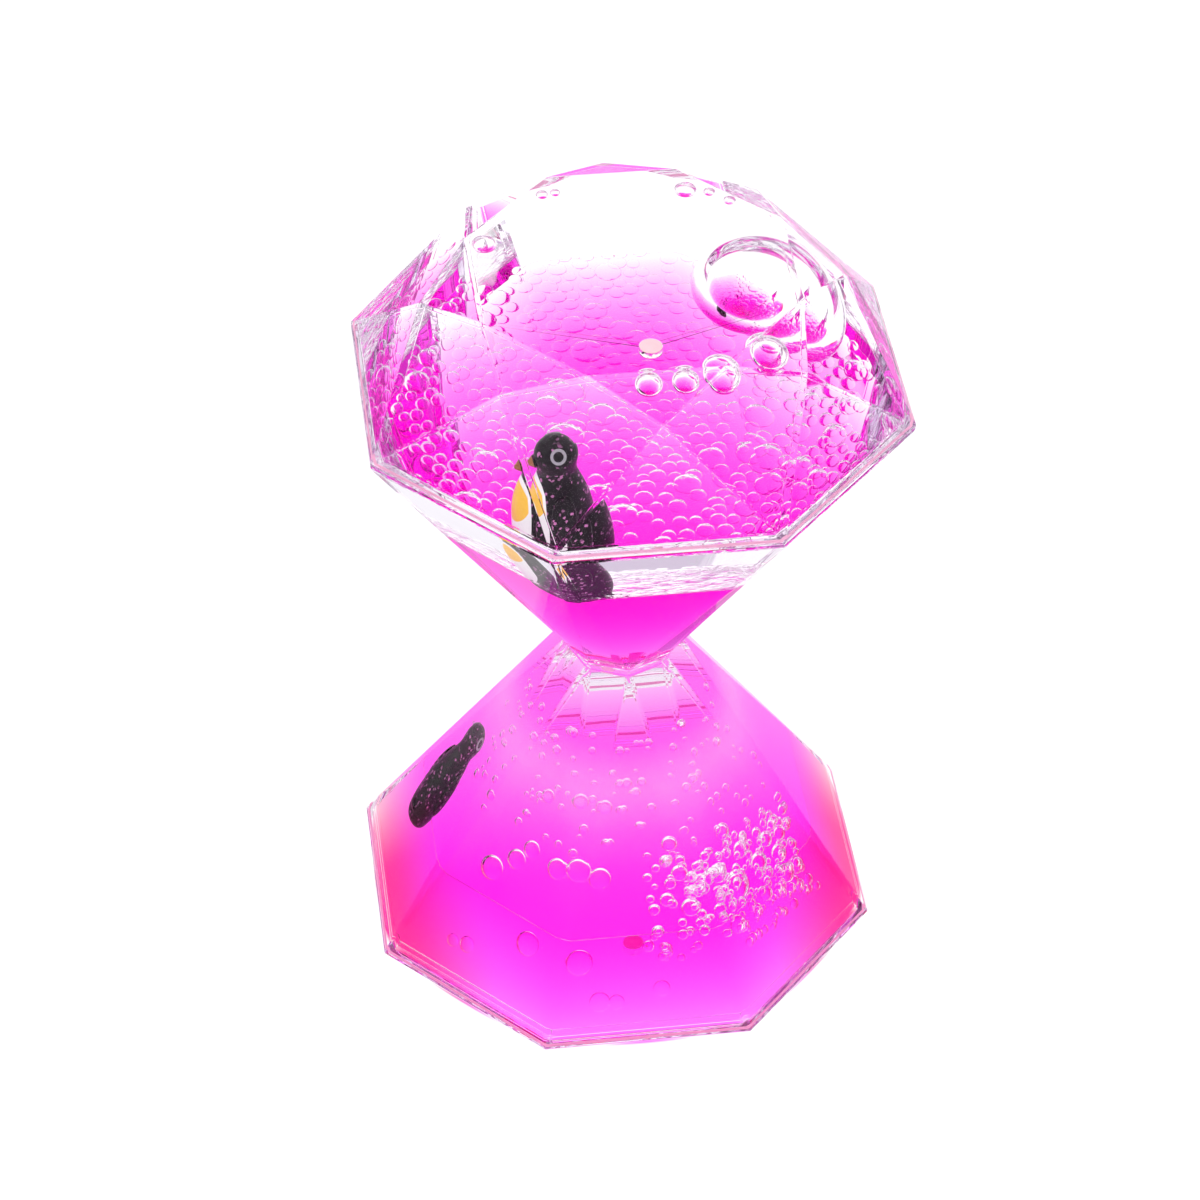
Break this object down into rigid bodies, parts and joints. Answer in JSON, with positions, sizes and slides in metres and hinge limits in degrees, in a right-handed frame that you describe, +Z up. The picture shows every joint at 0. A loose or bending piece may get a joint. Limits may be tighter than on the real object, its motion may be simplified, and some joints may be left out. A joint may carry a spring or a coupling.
{
  "type": "liquid motion timer",
  "caption": "Faceted clear liquid timer: a gem-cut crown over facing funnels joined at a drip neck, filled with magenta water and oil, with small penguin figures floating inside.",
  "frame": {"origin": "middle of the flat base, on the surface that the timer stands on", "axes": "+Z up through the neck; -Y is the front, where a flat of each rim faces; +X to the right"},
  "size_m": [0.0804, 0.0804, 0.1252],
  "materials": {
    "clear_acrylic": "polished clear acrylic",
    "cement": "clear solvent cement line",
    "clear_disc": "clear moulded plastic",
    "nozzle": "clear moulded plastic",
    "filler_plug": "pale tan sealing plug",
    "dyed_water": "magenta dyed water",
    "oil": "clear mineral oil",
    "penguin_black": "black plastic with fine glitter",
    "penguin_white": "white gloss",
    "penguin_yellow": "warm yellow gloss",
    "penguin_beak": "brown orange gloss",
    "ballast_steel": "steel ball"
  },
  "bodies": {
    "housing": {"crown_cap": "clear_acrylic", "upper_funnel": "clear_acrylic", "lower_funnel": "clear_acrylic", "base_plate": "clear_acrylic", "upper_rim_cement": "cement", "lower_rim_cement": "cement", "neck_cement": "cement", "drip_disc": "clear_disc", "down_nozzle": "nozzle", "up_nozzle": "nozzle", "top_filler_plug": "filler_plug", "base_filler_plug": "filler_plug", "upper_dyed_water": "dyed_water", "upper_oil": "oil", "lower_dyed_water": "dyed_water", "lower_oil": "oil"},
    "upper_ballast": {"upper_penguin_ballast": "ballast_steel"},
    "upper_penguin": {"upper_penguin_body": "penguin_black", "upper_penguin_belly": "penguin_white", "upper_penguin_chest_patch": "penguin_yellow", "upper_penguin_beak": "penguin_beak", "upper_penguin_eye_rings": "penguin_white"},
    "lower_ballast": {"lower_penguin_ballast": "ballast_steel"},
    "lower_penguin": {"lower_penguin_body": "penguin_black", "lower_penguin_belly": "penguin_white", "lower_penguin_chest_patch": "penguin_yellow", "lower_penguin_beak": "penguin_beak", "lower_penguin_eye_rings": "penguin_white"}
  },
  "joints": [
    {"name": "upper_bob", "type": "slide", "parent": "housing", "child": "upper_ballast", "axis": [-0.2937, -0.495, 0.8178], "range_m": [-0.032, 0.008], "stiffness_N_per_m": 1, "springref_m": 0.00883, "deforming": ["upper_dyed_water", "upper_oil"]},
    {"name": "upper_spin", "type": "hinge", "parent": "upper_ballast", "child": "upper_penguin", "pos_m": [-0.00997, -0.01634, 0.08759], "axis": [-0.1045, 0, 0.9945], "continuous": true},
    {"name": "lower_bob", "type": "slide", "parent": "housing", "child": "lower_ballast", "axis": [0.6168, -0.1554, 0.7716], "range_m": [-0.001, 0.0235], "stiffness_N_per_m": 1, "springref_m": 0.00833, "deforming": ["lower_dyed_water", "lower_oil"]},
    {"name": "lower_spin", "type": "hinge", "parent": "lower_ballast", "child": "lower_penguin", "pos_m": [-0.02744, 0.00725, 0.00723], "axis": [0.5148, 0, 0.8573], "continuous": true}
  ]
}
